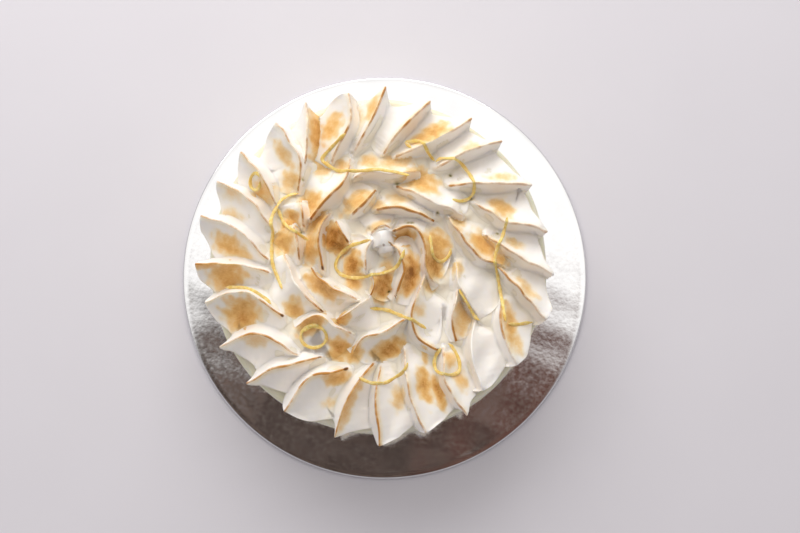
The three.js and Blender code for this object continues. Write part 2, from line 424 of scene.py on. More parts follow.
for name, fade, first, second in (
        ("walls", "skylight", ceiling["walls"], ceiling["bright"]),
        ("patch", "warmth", ceiling["shade"], ceiling["warm"]),
        ("hazy", "mottle", "patch", ceiling["haze"]), ("all", "edge", "hazy", "walls")):
    mix = addNode(sky, "ShaderNodeMix", {
        "data_type": "RGBA", 0: fades[fade], 6: tones.get(first, first), 7: tones.get(second, second)})
    tones[name] = mix.outputs[2]
strength = addNode(sky, "ShaderNodeMapRange", {
    "Value": fades["overhead"], "To Min": ceiling["strength"], "To Max": ceiling["overhead"]})
glow = addNode(sky, "ShaderNodeBackground", {"Color": tones["all"], "Strength": strength.outputs[0]})
addNode(sky, "ShaderNodeOutputWorld", {"Surface": glow.outputs[0]})

table = dict(half=2.0, gap=0.2)   # half its side in metres; just clear of the card
tableTop = cardLow.z - table["gap"] * mm
corners = [(x * table["half"], y * table["half"], tableTop) for x, y in ((-1, -1), (1, -1), (1, 1), (-1, 1))]
tableMesh = bpy.data.meshes.new("tabletop")
tableMesh.from_pydata(corners, [], [(0, 1, 2, 3)])
tableMesh.materials.append(mottledMaterial(tabletopLook))
tabletop = bpy.data.objects.new("tabletop", tableMesh)
scene.collection.objects.link(tabletop)
print("camera, light and tabletop placed")


def roundedCorner(radius, height, size, steps, startDegrees):
    # quarter circle of an outline, centred at (radius, height)
    angles = np.radians(np.linspace(startDegrees, startDegrees + 90, steps))
    return [(radius + size * math.cos(a), height + size * math.sin(a)) for a in angles]


cardShape = dict(edge=1.0, border=4, sag=0.06, waves=0.04, waveLength=34, foilStart=0.1, segments=360)
cardRadius = (cardHigh.x - cardLow.x) / 2 / mm
cardThick = (cardHigh.z - cardLow.z) / mm
edge, flat = cardShape["edge"], cardRadius - cardShape["border"]
cardOutline = [(r, 0.0) for r in np.linspace(1, flat, 20)]
cardOutline += roundedCorner(cardRadius - edge, edge, edge, 6, -90)
cardOutline += roundedCorner(cardRadius - edge, cardThick - edge, edge, 6, 0)
cardOutline += [(r, cardThick) for r in np.linspace(flat, 1, 60)]
cardRings = turned(cardOutline, cardShape["segments"])
slack = softNoise(cardShape["waveLength"])
inward = smoothStep(cardRadius - edge, flat - 1, np.hypot(cardRings[..., 0], cardRings[..., 1]))
dip = inward * (cardShape["sag"] + cardShape["waves"] * slack(cardRings))
cardRings[..., 2] -= np.where(cardRings[..., 2] > cardThick / 2, dip, 0)
cardRings[..., :2] += middleOf(cardLow, cardHigh)
cardPoints, cardFaces = closedTube(cardRings)
card = addPiece("silver_card", cardPoints, cardFaces, foil, "cake_card")
card.data.materials.append(board)
for face in card.data.polygons:   # the foil ends where the rounded edge turns under
    face.material_index = int(face.center.z < cardShape["foilStart"] * mm)

bodyShape = dict(
    rim=3.2, foot=1.2, inset=0.4, segments=300,
    bulge=0.25, bulgeLength=60, dents=0.14, dentLength=16, pushed=(-0.9, 0.55),   # the knife's unevenness
    sag=0.15, topDents=0.12,
)
wall = bodyRadius - bodyShape["inset"]
foot, rim = bodyShape["foot"], bodyShape["rim"]
bodyOutline = [(r, bodyBase) for r in np.linspace(1, wall - 3, 10)]
bodyOutline += roundedCorner(wall - foot, bodyBase + foot, foot, 5, -90)[:-1]
bodyOutline += [(wall, z) for z in np.linspace(bodyBase + foot, bodyTop - rim, 26)]
bodyOutline += roundedCorner(wall - rim, bodyTop - rim, rim, 10, 0)[1:]
bodyOutline += [(r, bodyTop) for r in np.linspace(wall - rim - 1, 1, 24)]
bodyRings = turned(bodyOutline, bodyShape["segments"])
knife, dents = softNoise(bodyShape["bulgeLength"]), softNoise(bodyShape["dentLength"])
push = bodyShape["bulge"] * knife(bodyRings) + bodyShape["dents"] * dents(bodyRings * [0.35, 0.35, 1.6])
reach = np.hypot(bodyRings[..., 0], bodyRings[..., 1])
onWall = smoothStep(wall - 8, wall - 2, reach) * smoothStep(bodyBase, bodyBase + 3, bodyRings[..., 2])
bodyRings[..., :2] *= (1 + onWall * np.clip(push, *bodyShape["pushed"]) / np.maximum(reach, 1))[..., None]
topDip = bodyShape["sag"] + bodyShape["topDents"] * np.clip(dents(bodyRings), -1.2, 1.2)
bodyRings[..., 2] -= smoothStep(bodyTop - 3, bodyTop, bodyRings[..., 2]) * topDip
bodyRings[..., :2] += axis
bodyPoints, bodyFaces = closedTube(bodyRings)
addPiece("lemon_cream_body", bodyPoints, bodyFaces, cream, "cake_body")
print("card and body made")


# A petal is piped in one stroke from its inner beak to its outer tip. Its crest is a thin fin with a
# short steep face on the clockwise side and a broad hollow face that runs down to the next crest.
# crest: (radius, degrees) from beak to tip. valley: how far out the meringue reaches beside the
# next crest. blunt: 0 pointed to 1 square tongue. steep: width of the steep face.
# torch: (radius, degrees, half length, half width, strength) of each browned patch on the broad
# face, and sideTorch on the steep one. line: how brown the crest is at beak, middle and tip.
# char: darkness of the beak. rise: its height against its ring's.
def petal(crest, valley=100, blunt=0.4, steep=4.5, torch=(), line=(0.6, 0.5, 0.5), char=0.3, rise=1.0,
          sideTorch=()):
    return dict(crest=crest, valley=valley, blunt=blunt, steep=steep, torch=torch, line=line, char=char,
                rise=rise, sideTorch=sideTorch)


def ring(label, heights, apron, reach, front, rimmed=False, taper=0.15, creaseTint=0.2, cusp=1.0):
    # heights: crest at beak, middle and tip. apron: how far a petal starts under the one before.
    # reach and front: most width of the broad face, and width ahead of the beak. cusp: fullness.
    # The crease setting is the strength of painted shade in the creases
    return dict(label=label, heights=heights, apron=apron, reach=reach, front=front, rimmed=rimmed,
                taper=taper, creaseTint=creaseTint, cusp=cusp)


outerRing = ring("outer", (7.5, 19.0, 15.5), 6.0, 26, 2.6, rimmed=True, creaseTint=0.25)
outerRing["petals"] = [   # crest, valley, blunt, steep, torch, line, char, rise, sideTorch
    petal([(68.8, 101.8), (85, 92), (106.1, 87.2)], 96, 0.2, 6,
          [(93, 92, 9, 3.5, 0.6), (89, 98, 9, 6, 0.25)], (0.4, 0.76, 0.72), 0.21),
    petal([(66.3, 86.8), (85.4, 78), (102.2, 71.9)], 95.5, 0.15, 5, [], (0.48, 0.72, 0.56), 0.21),
    petal([(64.6, 80.2), (82.6, 63.5), (104.2, 56.8)], 96, 0.1, 5,
          [(85, 66.6, 10, 5.5, 0.8), (80, 69.6, 9, 4.5, 0.7)], (0.64, 0.16, 0.68), 0.35),
    petal([(67.1, 58.2), (87, 49.9), (104.1, 44.4)], 96, 0.1, 5, [(88, 51, 9, 4, 0.3)], (0.48, 0.4, 0.48),
          0.28),
    petal([(62.3, 47.6), (80.3, 35.2), (103.3, 26.9)], 96.5, 0.1, 4.6, [(89.5, 34.6, 9, 3, 0.4)],
          (0.64, 0.4, 0.48), 0.35),
    petal([(67, 32.2), (77.8, 18.7), (81.3, 16.3), (93.8, 13.1), (103, 10.5)], 96.5, 0.15, 4.2,
          [(80.6, 24, 9, 5.5, 0.6)], (0.48, 0.48, 0.4), 0.28),
    petal([(66.4, 13.8), (84, 1.7), (104.1, -4.2)], 96, 0.25, 4.2, [(82, 8, 7, 3.5, 0.4)], (0.72, 0.4, 0.32),
          0.49),
    petal([(70.8, -2.4), (85.6, -11.2), (105.8, -19.4)], 99, 0.9, 4.2, [(90, -10, 10, 3.5, 0.4)],
          (0.7, 0.6, 0.3), 0.4),
    petal([(77.5, -17.2), (82.9, -28.4), (102.7, -36.9)], 98.5, 0.9, 4.2,
          [(87, -26, 14, 4, 0.65), (95, -30.6, 8, 4, 0.4)], (0.8, 0.6, 0.3), 0.8),
    petal([(67, -31.6), (78.7, -45.1), (98.5, -50.8)], 97.5, 1, 4.5, [], (0.2, 0.1, 0.1), 0.1, 0.9),
    petal([(63.9, -52), (80.3, -60.3), (104.9, -59.8)], 97.5, 0.15, 4.8,
          [(72, -53.6, 6, 4, 0.5), (86, -55, 7, 4, 0.45)], (0.5, 0.5, 0.6), 0.3),
    petal([(54, -73), (79.3, -76.3), (105, -74.5)], 97, 0.75, 5,
          [(78.5, -69, 11, 4.5, 0.8), (84.4, -64.7, 11, 3, 0.9), (61.4, -63, 6, 2, 0.6)], (0.5, 0.6, 0.4),
          0.3),
    petal([(61.6, -88.6), (83.7, -90.3), (108, -89)], 97.5, 0.7, 6, [(81, -81.6, 8, 4.5, 0.4)],
          (0.6, 0.75, 0.95), 0.3),
    petal([(60.5, -92.5), (81.8, -101.9), (106.1, -103.4)], 97.5, 0.3, 6,
          [(81, -101.3, 13, 3.5, 0.5), (90, -101.6, 12, 3, 0.45)], (0.8, 0.6, 0.7), 0.4),
    petal([(65.6, -105.9), (81.6, -120.3), (104.2, -121.5)], 96.5, 0.9, 7,
          [(72.5, -109, 8, 4.2, 0.75), (88, -108, 7, 4, 0.25)], (1.0, 0.7, 0.5), 1.0),
    petal([(65.4, -120.1), (85.8, -132.7), (105.7, -137.2)], 94.5, 0.2, 8.5, [], (0.8, 0.75, 0.6), 0.6),
    petal([(72.6, -130.9), (84.1, -149.1), (105.8, -151.7)], 94.5, 0.25, 8.5, [(86, -147.4, 8, 5, 0.3)],
          (0.5, 0.8, 0.35), 0.2),
    petal([(64.7, -150.6), (82.3, -167.3), (104.5, -166.7)], 96, 0.85, 7,
          [(86.4, -159, 11, 10, 0.8), (80, -157, 7, 8, 0.4)], (0.95, 0.3, 0.55), 0.85),
    petal([(64.7, -174.7), (87.7, -178.8), (107.9, -178.9)], 97, 0.7, 7,
          [(90, -175, 11, 9, 0.7), (100, -179, 9, 3, 0.6)], (0.7, 0.2, 0.9), 0.3),
    petal([(65.6, 178.5), (86.2, 167), (109.2, 165.4)], 96.5, 0.6, 8.5,
          [(90, 173, 10, 6, 0.65), (81, 176, 7, 5, 0.4)], (0.6, 0.4, 0.5), 0.4),
    petal([(65.5, 163), (85.1, 154.1), (107.2, 153.3)], 96, 0.55, 8.5,
          [(95, 155, 9, 4, 0.25), (92, 161.7, 8, 4, 0.3)], (0.5, 0.5, 0.5), 0.3),
    petal([(70.1, 150.1), (87.1, 143.4), (105, 141.4)], 95, 0.55, 8.5, [(80, 149, 8, 7, 0.5)],
          (0.6, 0.5, 0.6), 0.4),
    petal([(64.6, 137.8), (72.5, 129), (77.8, 126.9), (85.5, 126.4), (95.7, 125.8), (103.6, 125.9)], 95, 0.6,
          8, [(86, 131, 11, 3.5, 0.45), (72, 136, 9, 6, 0.5)], (0.7, 0.5, 0.5), 0.4),
    petal([(73.4, 126.2), (80.3, 122), (91.5, 117.3), (99.5, 115.1), (105.8, 114.3)], 95, 0.25, 8, [],
          (0.6, 0.4, 0.5), 0.4, 1.0, [(87, 113.5, 20, 6, 0.95)]),
    petal([(67.1, 115.3), (85.8, 100.9), (102.8, 100.1)], 95.5, 0.9, 6, [(86, 109, 10, 6, 0.6)],
          (0.6, 0.6, 0.5), 0.4),
]
middleRing = ring("middle", (10.0, 21.5, 6.5), 6.0, 22, 3.0)
middleRing["petals"] = [
    petal([(47.9, 147), (48.3, 125.5), (50.7, 115), (56.7, 107.8), (65.7, 104.6)], steep=5,
          torch=[(53.5, 137.6, 8, 7, 0.8), (62.5, 110.6, 6, 5, 0.5), (66.5, 120, 6, 5, 0.5)],
          line=(0.9, 0.8, 0.4), char=0.6),
    petal([(52, 105.5), (53.5, 95), (52.5, 79), (61, 66)], steep=5,
          torch=[(61, 94, 7, 5, 0.5), (62, 80.5, 16, 6, 0.4), (58, 68.4, 6, 4, 0.5)], line=(0.4, 0.3, 0.4),
          char=0.3),
    petal([(47, 76), (48, 48), (59.5, 28)], steep=5, torch=[(55.6, 63, 12, 8, 0.7)], line=(0.8, 0.3, 0.3),
          char=0.6),
    petal([(50, 32), (52, 16), (60, 2.4), (75, -2)], steep=4.5,
          torch=[(63, 10, 10, 6, 0.7), (72, 1.4, 7, 4, 0.6), (53.5, 26.5, 6, 5, 0.4)], line=(0.5, 0.7, 0.5),
          char=0.4),
    petal([(46.4, -1.5), (49, -13.5), (69, -30)], steep=4.5, torch=[(47, -4, 6, 4, 0.4)],
          line=(0.3, 0.3, 0.3), char=0.2, rise=0.85),
    petal([(50, -17), (58, -40), (66, -45)], steep=4.5, torch=[(60, -33, 12, 5, 0.5)], line=(0.3, 0.4, 1.0),
          char=0.2, rise=0.9),
    petal([(29.5, -16), (31.6, -42), (40, -59.4), (50.5, -62), (60, -57.5), (63.6, -54)], steep=4,
          torch=[(34, -24, 6, 4, 0.5), (38, -49, 6, 4, 0.3)], line=(0.4, 0.75, 0.9), char=0.3),
    petal([(39, -63), (43.5, -90), (46, -100), (57, -106)], steep=4.5,
          torch=[(55.7, 255, 6, 6, 0.75), (52, 277, 12, 5, 0.9)], line=(0.6, 0.6, 0.7), char=0.3),
    petal([(45, -110), (46, -123), (47, -137), (63, -141)], steep=5,
          torch=[(53.6, 223, 11, 5, 0.8), (56.3, 246, 7, 7, 0.9)], line=(0.5, 0.3, 0.5), char=0.3),
    petal([(43.6, -138), (48.4, -158), (50.7, -167), (56, 175)], steep=5, torch=[(56.7, 210, 7, 6, 0.7)],
          line=(0.9, 0.2, 0.5), char=0.7),
    petal([(46.4, 178), (51, 161), (56, 155)], steep=4.5, torch=[(57.4, 167, 9, 7, 0.75)],
          line=(0.6, 0.6, 0.5), char=0.4),
    petal([(49, 154), (51, 150), (60, 141)], steep=4.5, torch=[(57.5, 155.4, 8, 5, 0.85)],
          line=(0.6, 0.7, 0.6), char=0.4),
]
innerRing = ring("inner", (15.0, 23.5, 9.0), 5.0, 16, 3.4)
innerRing["petals"] = [
    petal([(30.3, 91), (33, 77), (36.5, 53), (42.4, 37)], steep=4,
          torch=[(40, 72, 8, 5, 0.35), (33.5, 89, 5, 4, 0.4)], line=(0.7, 0.9, 0.9), char=0.4),
    petal([(32, 119), (35, 102), (43, 91)], steep=4, torch=[(38, 109, 11, 6, 0.65)], line=(0.6, 0.9, 0.8),
          char=0.4),
    petal([(21.6, 148), (28.5, 141), (36, 135.6)], steep=4, torch=[(28.5, 152, 10, 7, 1.15)],
          line=(0.8, 0.8, 0.7), char=0.6),
    petal([(32.4, 188), (35.7, 165), (39.4, 149), (41.3, 134)], steep=4,
          torch=[(43.5, 146, 9, 5, 0.75), (40.8, 167, 10, 5, 0.75)], line=(0.95, 0.8, 0.5), char=0.8),
    petal([(25.5, 240), (29, 220), (34.6, 201), (40.3, 185)], steep=4, torch=[(35.7, 204, 12, 5, 0.85)],
          line=(0.5, 0.7, 0.8), char=0.1),
    petal([(23, 258), (32.7, 243), (42, 235)], steep=4, torch=[(39.6, 237.5, 6, 4, 0.8)],
          line=(0.4, 0.4, 0.95), char=0.1),
    petal([(12, 56), (14, 26), (16.4, -15), (19, -46), (25.7, -69)], steep=3.5,
          torch=[(20.7, -18, 10, 5, 1.25), (20, -2, 7, 3.5, 1.0), (22.5, -38, 7, 4, 0.9)],
          line=(0.6, 0.9, 1.0), char=0.5),
    petal([(20, 63), (27, 49), (30, 33), (29, 11), (29, -5), (33, -17.5), (39, -20)], steep=4.5,
          torch=[(36, 17, 10, 8, 0.75), (33.5, -2, 10, 5.5, 0.95)], line=(0.9, 0.7, 0.35), char=0.6,
          sideTorch=[(21, 42, 6, 4.6, 1.0)]),
    petal([(17, 102), (21, 82), (20.7, 65)], steep=3.5, torch=[(21.5, 88, 8, 3, 0.4)], line=(0.5, 0.6, 0.5),
          char=0.2),
]
heart = ring("centre", (21.0, 22.5, 20.0), 4.0, 12, 5.0)
heart["petals"] = [
    petal([(9, 216), (7.6, 157), (9.5, 125.5), (12.4, 104)], steep=6,
          torch=[(15, 190, 9, 5, 1.1), (17, 215, 7, 5, 0.8)], line=(0.6, 0.5, 0.5), char=0.2,
          sideTorch=[(7, -35, 7, 4, 0.5)]),
]
extra = ring("small", (20.0, 21.5, 17.0), 3.0, 8, 3.6, taper=0.6)
extra["petals"] = [
    petal([(8.5, 246), (10.5, 256), (15.2, 262), (21.6, 258)], steep=3,
          torch=[(15, 280, 8, 6, 1.0), (12, 300, 5, 4, 0.9)], line=(0.8, 1.0, 1.0), char=0.5),
]
nub = ring("nub", (21.0, 23.2, 22.4), 3.0, 6.5, 4.6, taper=0.9, creaseTint=0.0, cusp=0.16)
nub["petals"] = [
    petal([(8.2, 62), (11.8, 76), (17.0, 83)], steep=5.6, torch=[(11.5, 57, 2, 1.6, 0.5)],
          line=(0.0, 0.0, 0.0), char=0.55),
]
rings = [outerRing, middleRing, innerRing, heart, extra, nub]

petalMesh = dict(
    markStep=0.8, leastMarks=12,   # along a crest, for finding the nearest part of it
    stations=84, broadSteps=26, capSteps=5, steepSteps=12, lipSteps=4, underSteps=8, flankSamples=44,
)
crestColumn = petalMesh["broadSteps"] + petalMesh["capSteps"] // 2
petalForm = dict(
    fin=0.42, finTip=0.25, capTurn=62,   # half the crest's thickness, its share at the tip, its rounding
    hollows=(2.3, 1.9), leastRise=0.5,   # how hollow the broad and the steep face are
    spread=1.06, handOver=(1.2, 3.5),    # width against the room beside; where far shapes take over
    overlap=3.0, meet=2.6, crease=0.8,   # the run under a neighbour, its fading and its depth
    sheet=1.7, lip=1.1, lipTurn=55,      # least thickness; the rounded edge of the broad face
    nose=1.8, bluntNose=2.2, innerNose=4.0, noseEnd=0.03,   # rounding towards the tip
    beakRun=1.2, beakWidth=0.05,         # how the end under the neighbour opens
    swell=0.3, ripple=0.05, drag=0.06, sway=0.3, pit=3.0,   # unevenness by hand
)
blend = dict(soft=3.5, tight=10.0, tightest=0.1)   # how petals meet, and the bearing where they do tightest
troughs = dict(rim=1.2, steps=[(2.2, 62, 84), (2.8, 24, 52), (5.5, 5, 24)])   # rise, full within, none past
swell, ripple, tremble, flicker = softNoise(15), softNoise(4.0), softNoise(9), softNoise(6)

# gaps where the creases do not quite close, each dented into the meringue and painted dark olive as shadow:
# (x, y, radius)
pits = [(6.8, -17.4, 1.6), (-46, 18.3, 0.9), (18.6, 23.2, 1.1), (20.6, 23, 1.0), (35.8, 30.5, 0.8),
        (43.3, 52.9, 1.1), (55.7, 39, 1.2), (71.5, 17.9, 1.0), (11.4, 47.6, 1.2), (-44.8, 49.6, 0.9)]


def floorRise(rho):
    # the trough level: the flower stands higher towards its heart
    level = troughs["rim"]
    for rise, near, far in troughs["steps"]:
        level = level + rise * (1 - smoothStep(near, far, rho))
    return level


def pitAt(plan):
    depth = np.zeros(plan.shape[:-1])
    for x, y, size in pits:
        depth = np.maximum(depth, np.exp(-((plan[..., 0] - x) ** 2 + (plan[..., 1] - y) ** 2) / size ** 2))
    return depth


allPetals = []
for group in rings:
    for number, row in enumerate(group["petals"], 1):
        path = curveThrough([onPlan(r, a) for r, a in row["crest"]])
        length = lineLength(path)
        count = max(petalMesh["leastMarks"], int(length / petalMesh["markStep"]))
        marks = alongLine(path, np.linspace(0, length, count))
        ways = unit(np.gradient(marks, axis=0))
        turning = np.abs(np.diff(np.unwrap(np.arctan2(ways[:, 1], ways[:, 0])))).sum()   # radians
        allPetals.append(dict(
            row, ring=group, name="%s_petal_%02d" % (group["label"], number), path=path, length=length,
            marks=marks, ways=ways, markShare=np.linspace(0, 1, len(marks)), bent=turning > 0.5,
            tipRadius=float(np.linalg.norm(marks[-1])),
            tipAngle=math.degrees(math.atan2(marks[-1][1], marks[-1][0])),
        ))
rimPetals = [p for p in allPetals if p["ring"]["rimmed"]]


def spaceBeside(p):
    # room on the broad side of every mark before another crest
    normals = leftOf(p["ways"])
    room = np.full(len(p["marks"]), float(p["ring"]["reach"]))
    for other in allPetals:
        if other is not p:
            away = other["marks"][None] - p["marks"][:, None]
            across = np.einsum("ijk,ik->ij", away, normals)
            along = np.abs(np.einsum("ijk,ik->ij", away, p["ways"]))
            away = np.where((across > 1.0) & (along < 0.5 * across + 0.8), across + 0.3 * along, 1e3)
            room = np.minimum(room, away.min(axis=1))
    if p["ring"]["rimmed"]:   # past the neighbour's tip the width stays as it was
        beyond = np.linalg.norm(p["marks"], axis=1) > p["valley"] - 2
        if beyond.any() and not beyond.all():
            room[beyond] = room[~beyond][-1]
    room = np.array([room[max(0, i - 3):i + 4].min() for i in range(len(room))])
    return np.maximum(blurred(room, 3), 5.0)


for p in allPetals:
    p["broad"] = spaceBeside(p) * petalForm["spread"]   # a little past the next crest


def crestHeight(p, v):
    beakRise, midRise, tipRise = [h * p["rise"] for h in p["ring"]["heights"]]
    if p["ring"]["rimmed"]:   # pointed tips droop
        tipRise = tipRise * (0.55 + 0.45 * min(1.0, 1.4 * p["blunt"]))
    return midRise + (beakRise - midRise) * (1 - v) ** 4 + (tipRise - midRise) * v ** 2.6


def ridge(p, v, d, sine, rho):
    # height of one petal above the trough level: a cusp that is hollow on both sides.
    # v: share of the crest's length. d: distance from the crest.
    # sine: 1 straight beside the crest on the broad side, -1 on the steep side, 0 off its ends
    front = p["ring"]["front"]
    opening = 0.5 + 0.5 * smoothStep(-0.02, 0.2, v)
    broad = np.interp(v, p["markShare"], p["broad"]) * opening
    lens = np.sin(math.pi * np.clip(0.04 + 0.94 * v, 0, 1)) ** 0.8
    least = p["ring"]["taper"] + 0.55 * p["blunt"] * v
    steep = p["steep"] * (least + (1 - least) * lens)
    width = front + np.where(sine > 0, broad - front, steep - front) * np.abs(sine)
    q = np.clip(d / width, 0, 1)
    cusp = np.where(sine > 0, *petalForm["hollows"]) * p["ring"]["cusp"]
    return np.maximum(crestHeight(p, v) - floorRise(rho), petalForm["leastRise"]) * (1 - q) ** cusp


def ridgeAt(p, flat, rho):
    # one petal's height at points in plan, from the nearest mark of its crest
    m = p["marks"]
    gap = ((flat[:, None] - m[None]) ** 2).sum(axis=2)
    nearest = gap.argmin(axis=1)
    d = np.sqrt(gap[np.arange(len(flat)), nearest])
    away = flat - m[nearest]
    way = p["ways"][nearest]
    sine = (way[:, 0] * away[:, 1] - way[:, 1] * away[:, 0]) / np.maximum(d, 1e-6)
    inside = (nearest > 0) & (nearest < len(m) - 1)
    sine = np.where(inside, np.sign(sine), np.clip(sine, -1, 1))
    v = p["markShare"][nearest]
    if p["bent"]:   # far from a bent crest its parts hand over softly
        weight = np.exp(-(np.sqrt(gap) - d[:, None]) / 1.6)
        mean = (weight * p["markShare"]).sum(axis=1) / weight.sum(axis=1)
        v = v + (mean - v) * smoothStep(2, 6, d)
    return ridge(p, v, np.maximum(d - petalForm["fin"], 0), sine, rho)


def blendAt(plan):
    # how sharply two petals meet: soft troughs on one side of the flower, tight creases on the other
    bearing = np.arctan2(plan[..., 1], plan[..., 0])
    share = (0.5 + 0.5 * np.cos(bearing - blend["tightest"])) ** 1.5
    return blend["soft"] + (blend["tight"] - blend["soft"]) * share


def others(plan, own):
    # the summed field of the petals around, to the power of the blend
    flat = plan.reshape(-1, 2)
    rho = np.linalg.norm(flat, axis=1)
    low, high = flat.min(axis=0) - outerRing["reach"], flat.max(axis=0) + outerRing["reach"]
    total = np.zeros(len(flat))
    power = blendAt(flat)
    for other in allPetals:
        near = (other["marks"].max(axis=0) >= low).all() and (other["marks"].min(axis=0) <= high).all()
        if near and other is not own:
            total += ridgeAt(other, flat, rho) ** power
    return total.reshape(plan.shape[:-1])


def rivalHeight(plan, own):
    return others(plan, own) ** (1 / blendAt(plan))


def uneven(points):
    # hand-piped unevenness shared by neighbouring pieces: slow swells and small ripples
    flattened = points * [1, 1, 0.3]
    return petalForm["swell"] * swell(flattened) + petalForm["ripple"] * ripple(flattened)


for p in allPetals:   # each browned patch gets its centre and the way the crest runs beside it
    for kind in ("torch", "sideTorch"):
        centres = [onPlan(row[0], row[1]) for row in p[kind]]
        nearest = [np.argmin(np.linalg.norm(p["marks"] - centre, axis=1)) for centre in centres]
        p[kind] = [(c, p["ways"][i], *row[2:]) for c, i, row in zip(centres, nearest, p[kind])]
allPatches = [patch for p in allPetals for patch in p["torch"] + p["sideTorch"]]


flame = dict(
    grow=(1.25, 1.3), fade=(0.05, 1.25), ragged=0.09,   # a patch's size past its soft edge
    steepShare=0.15, band=4.0, bandShare=0.3,           # patches past the crest; the glow beside it
    line=(0.35, 1.0), flicker=0.16, beak=(0.5, 1.7), charred=1.15,   # brown line and burnt beak
)


def patchStrength(plan, patches):
    # soft-edged ovals lying along the crest, sized by their half length and half width
    strength = np.zeros(plan.shape[:-1])
    ragged = flame["ragged"] * flicker(np.concatenate([plan, plan[..., :1] * 0], axis=-1))
    for centre, way, length, width, amount in patches:
        offset = plan - centre
        along = offset @ way / (length * flame["grow"][0])
        across = (offset[..., 0] * way[1] - offset[..., 1] * way[0]) / (width * flame["grow"][1])
        edge = np.sqrt(along ** 2 + across ** 2) + ragged
        strength = np.maximum(strength, amount * (1 - smoothStep(*flame["fade"], edge)))
    return strength


rimForm = dict(
    rounding=(0.35, 0.6),            # the bluntness from which a tip is rounded off
    slope=0.6, hollow=2.4,           # a pointed tip's run to the valley, as a share of the gap
    square=(0.2, 0.92), bulge=2.5,   # a square tip's, and how far its tongue swells
    back=3.2, bluntBack=1.3,         # width of the steep side's corner
)


def rimReach(p, plan):
    # how far out the meringue goes at each point's bearing, between two tips
    form = rimForm
    index = rimPetals.index(p)
    after, before = rimPetals[index - 1], rimPetals[(index + 1) % len(rimPetals)]
    bearing = np.degrees(np.arctan2(plan[..., 1], plan[..., 0]))
    turn = (bearing - p["tipAngle"] + 180) % 360 - 180
    share = turn / ((after["tipAngle"] - p["tipAngle"]) % 360)
    blunt = p["blunt"]
    soft = float(smoothStep(*form["rounding"], blunt))
    sharp = np.clip(1 - np.maximum(share - 0.07 * soft, 0) / form["slope"], 0, 1) ** form["hollow"]
    curve = (1 - blunt) * sharp + blunt * (1 - smoothStep(*form["square"], share))
    broadSide = p["valley"] + (p["tipRadius"] - p["valley"]) * curve
    broadSide += form["bulge"] * max(0, blunt - 0.5) * np.exp(-((share - 0.2) / 0.16) ** 2)
    corner = form["back"] + form["bluntBack"] * blunt
    back = np.clip(-turn * math.radians(1) * 100 / corner - 0.35 * soft, 0, 1)
    rounded = np.sqrt(np.clip(1 - back ** 1.5, 0, 1))
    steepShare = blunt * rounded + (1 - blunt) * (1 - back) ** 2
    steepSide = before["valley"] + (p["tipRadius"] - before["valley"]) * steepShare
    return np.where(turn >= 0, broadSide, steepSide)


def firstCrossing(inside, values):
    # the value where a row of samples first stops being inside
    outside = ~inside
    index = np.where(outside.any(axis=1), outside.argmax(axis=1), values.shape[0] - 1)
    return values[index]


def strokeOf(p):
    # stations from the apron ahead of the beak to the tip, closer together at both ends
    apron, length = p["ring"]["apron"], p["length"]
    share = np.linspace(0, 1, petalMesh["stations"])
    ease = 0.5 * share + 0.5 * (0.5 - 0.5 * np.cos(math.pi * share))
    distance = -apron + (length + apron) * ease
    startWay = p["path"][1] - p["path"][0]
    startWay /= np.linalg.norm(startWay)
    withApron = np.concatenate([[p["path"][0] - startWay * apron], p["path"]])
    crest = alongLine(withApron, distance + apron)
    tangent = np.gradient(crest, axis=0)
    tangent = unit(np.stack([blurred(tangent[:, i], 1.5) for i in (0, 1)], axis=1))
    noseLength = petalForm["innerNose"]
    if p["ring"]["rimmed"]:
        noseLength = petalForm["nose"] + petalForm["bluntNose"] * p["blunt"]
    nose = np.clip((distance - (length - noseLength)) / noseLength, 0, 1)
    shrink = np.sqrt(np.clip(1 - nose ** 2, 0, 1))
    shrink[-1] = petalForm["noseEnd"]   # the tip closes, but not to a point
    opening = np.clip((distance + apron) / petalForm["beakRun"], petalForm["beakWidth"], 1)
    return dict(
        crest=crest, normal=leftOf(tangent), distance=distance, v=np.clip(distance / length, 0, 1),
        ahead=np.maximum(-distance, 0), shrink=shrink, opening=opening,
    )


def beside(stroke, x):
    # places in plan at x from the crest, positive towards the broad face
    return stroke["crest"][:, None] + x[..., None] * stroke["normal"][:, None]


def ownField(p, stroke, x):
    # the petal's own height above the trough level: stations by samples
    plan = beside(stroke, x)
    rho = np.linalg.norm(plan, axis=-1)
    ahead = stroke["ahead"][:, None]
    d = np.sqrt(x ** 2 + ahead ** 2)
    sine = np.where(ahead > 0, x / np.maximum(d, 1e-6), np.sign(x))
    d = np.maximum(d - petalForm["fin"], 0)
    close = ridge(p, np.broadcast_to(stroke["v"][:, None], x.shape), d, sine, rho)
    far = ridgeAt(p, plan.reshape(-1, 2), rho.ravel()).reshape(x.shape)
    share = smoothStep(*petalForm["handOver"], d)
    return plan, rho, close * (1 - share) + far * share


def flank(p, stroke, sign, most):
    # where a neighbour takes over on one side, and where the flank ends, under it or at the rim
    samples = np.linspace(0, most, petalMesh["flankSamples"])
    x = np.broadcast_to(samples * sign, (petalMesh["stations"], len(samples)))
    plan, rho, own = ownField(p, stroke, x)
    start = samples[None] < 0.2   # the crest itself always counts as the petal's own
    met = firstCrossing(((own > rivalHeight(plan, p)) & (own > 0.04)) | start, samples)
    met = blurred(met, 1.2)
    end = met + petalForm["overlap"]
    if p["ring"]["rimmed"]:
        within = rho < rimReach(p, plan)
        cut = np.where(within.all(axis=1), 1e3, firstCrossing(within | start, samples))
        end = np.minimum(cut, end)
    return met, np.maximum(blurred(end, 1.0), 0.7) * stroke["shrink"] * stroke["opening"]


